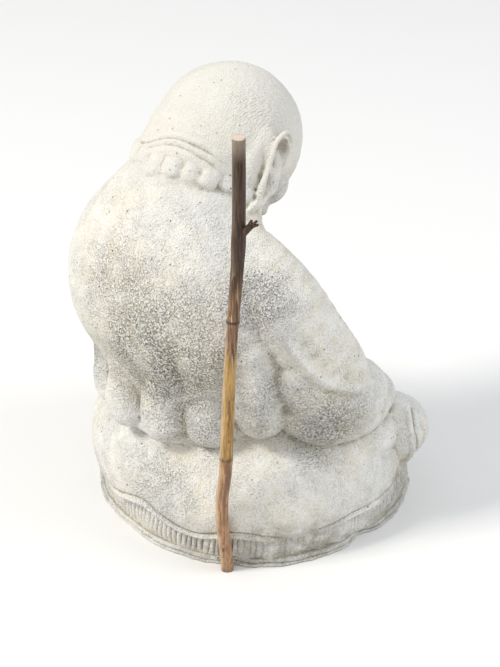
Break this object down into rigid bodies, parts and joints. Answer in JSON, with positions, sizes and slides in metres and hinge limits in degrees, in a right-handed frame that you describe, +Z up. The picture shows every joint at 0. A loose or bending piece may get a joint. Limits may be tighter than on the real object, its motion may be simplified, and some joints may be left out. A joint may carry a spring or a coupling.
{
  "type": "garden statue of a seated monk",
  "caption": "Cast stone monk seated cross-legged with head bowed, on a mat and slab, with a thin branch leaned against the back.",
  "frame": {"origin": "centre of the flat underside of the slab, on the ground", "axes": "+Z up, the figure faces -Y, its right hand is on the -X side"},
  "size_m": [0.2877, 0.2935, 0.3996],
  "materials": {
    "stone": "weathered cast stone, sandy and pitted, matt",
    "bark": "natural branch with patches of peeled bark"
  },
  "bodies": {
    "root": {"cast_monk": "stone", "leaning_stick": "bark"}
  },
  "joints": []
}
